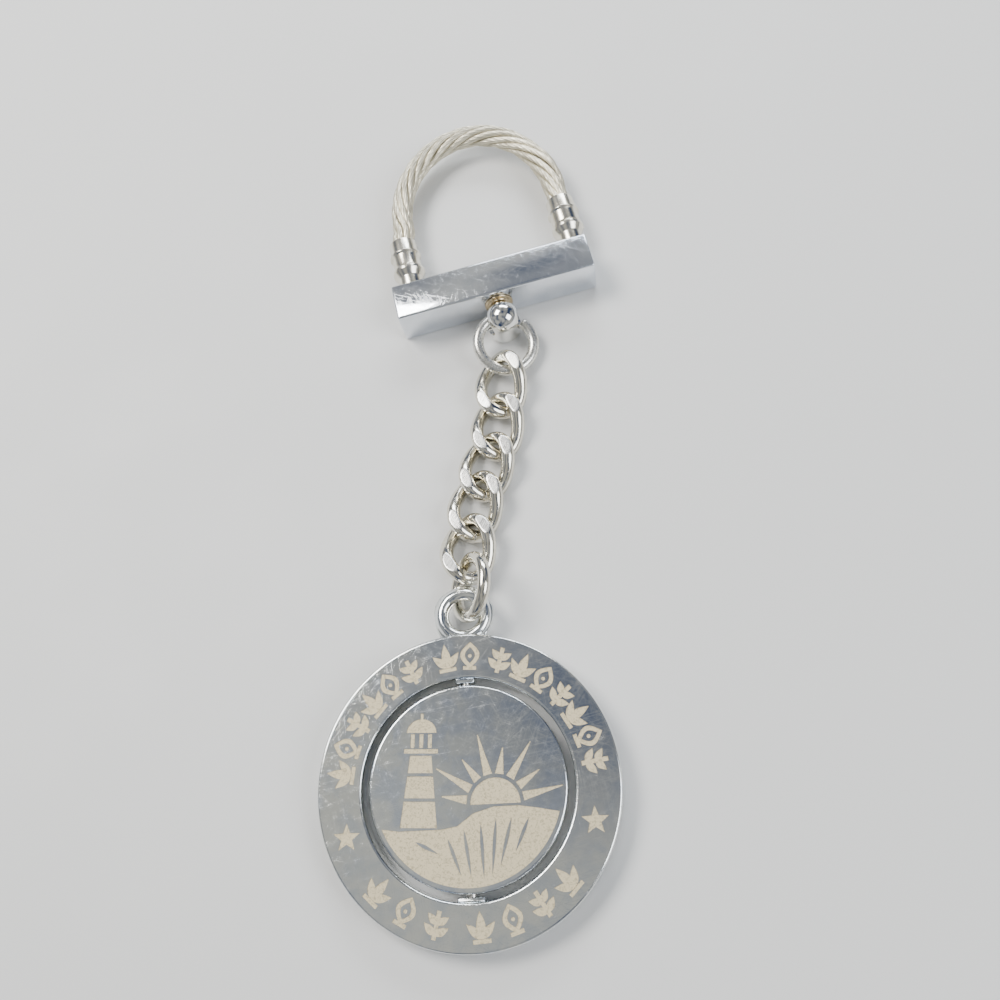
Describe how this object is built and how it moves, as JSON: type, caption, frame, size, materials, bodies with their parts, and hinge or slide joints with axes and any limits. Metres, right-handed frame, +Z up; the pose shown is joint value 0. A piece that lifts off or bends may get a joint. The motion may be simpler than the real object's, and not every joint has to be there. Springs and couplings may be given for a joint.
{
  "type": "spinner medal keychain",
  "caption": "Keychain: a wire-rope key loop on a square bar, a swivel and curb chain, and a round medal whose centre disc spins in its ring.",
  "frame": {"origin": "middle of the object's footprint, on the surface it lies on", "axes": "+Z up, +Y from the medal to the key loop, near the axis that the disc spins on, +X to the right"},
  "size_m": [0.04, 0.1211, 0.008],
  "materials": {
    "bar_chrome": "polished chrome with fine hairline scratches",
    "medal_chrome": "polished chrome, lightly scratched, with a frosted etched border pattern",
    "disc_chrome": "polished chrome, lightly scratched, with a frosted etched picture",
    "barrel_chrome": "bright polished chrome",
    "chain_nickel": "warm bright nickel, ground flats",
    "ring_nickel": "satin nickel wire",
    "fitting_nickel": "turned nickel, fine turning lines",
    "rope_steel": "satin steel wire rope",
    "pin_steel": "plain steel"
  },
  "bodies": {
    "grip": {"grip_bar": "bar_chrome", "key_cable": "rope_steel", "left_ferrule": "fitting_nickel", "right_ferrule": "fitting_nickel"},
    "collar": {"release_collar": "fitting_nickel"},
    "swivel": {"swivel_barrel": "barrel_chrome", "swivel_stem": "fitting_nickel", "swivel_washer": "pin_steel"},
    "top_ring": {"top_ring": "ring_nickel"},
    "link_1": {"link_1": "chain_nickel"},
    "link_2": {"link_2": "chain_nickel"},
    "link_3": {"link_3": "chain_nickel"},
    "link_4": {"link_4": "chain_nickel"},
    "link_5": {"link_5": "chain_nickel"},
    "lower_ring": {"lower_ring": "chain_nickel"},
    "medal": {"medal_ring": "medal_chrome", "top_pivot_pin": "pin_steel", "bottom_pivot_pin": "pin_steel"},
    "spinner": {"spinner_disc": "disc_chrome"}
  },
  "joints": [
    {"name": "swivel_turn", "type": "hinge", "parent": "grip", "child": "swivel", "pos_m": [0.0049, 0.03025, 0.00305], "axis": [-0.1908, 0.9816, 0], "continuous": true},
    {"name": "collar_turn", "type": "hinge", "parent": "grip", "child": "collar", "pos_m": [0.01711, 0.03556, 0.00305], "axis": [-0.1908, 0.9816, 0], "continuous": true},
    {"name": "top_ring_swing", "type": "hinge", "parent": "swivel", "child": "top_ring", "pos_m": [0.00644, 0.02422, 0.0031], "axis": [0.9989, 0.0236, -0.0394], "range_deg": [-82, 90]},
    {"name": "link_1_slide", "type": "hinge", "parent": "top_ring", "child": "link_1", "pos_m": [0.00618, 0.02075, 0.00258], "axis": [0.2588, -0.1677, 0.9513], "range_deg": [-40, 40]},
    {"name": "link_2_fold", "type": "hinge", "parent": "link_1", "child": "link_2", "pos_m": [0.00496, 0.01042, 0.00166], "axis": [0.43, -0.103, -0.8969], "range_deg": [-13, 13]},
    {"name": "link_3_fold", "type": "hinge", "parent": "link_2", "child": "link_3", "pos_m": [0.00419, 0.00383, 0.00095], "axis": [-0.3569, 0.268, 0.8949], "range_deg": [-25, 17]},
    {"name": "link_4_fold", "type": "hinge", "parent": "link_3", "child": "link_4", "pos_m": [0.00174, -0.00143, 0.00158], "axis": [0.2939, -0.09, -0.9516], "range_deg": [-21, 29]},
    {"name": "link_5_fold", "type": "hinge", "parent": "link_4", "child": "link_5", "pos_m": [0.00034, -0.00652, 0.00252], "axis": [0.524, -0.053, 0.85], "range_deg": [-25, 20]},
    {"name": "lower_ring_swing", "type": "hinge", "parent": "link_5", "child": "lower_ring", "pos_m": [-0.00185, -0.01451, 0.00401], "axis": [0.8248, -0.2129, -0.5239], "range_deg": [-40, 30]},
    {"name": "medal_slide", "type": "hinge", "parent": "lower_ring", "child": "medal", "pos_m": [0.00012, -0.0162, 0.00402], "axis": [-0.8087, 0.0302, 0.5874], "range_deg": [0, 60]},
    {"name": "disc_spin", "type": "hinge", "parent": "medal", "child": "spinner", "pos_m": [-0.00102, -0.04146, 0.00213], "axis": [0, 0.9995, 0.0332], "continuous": true}
  ]
}
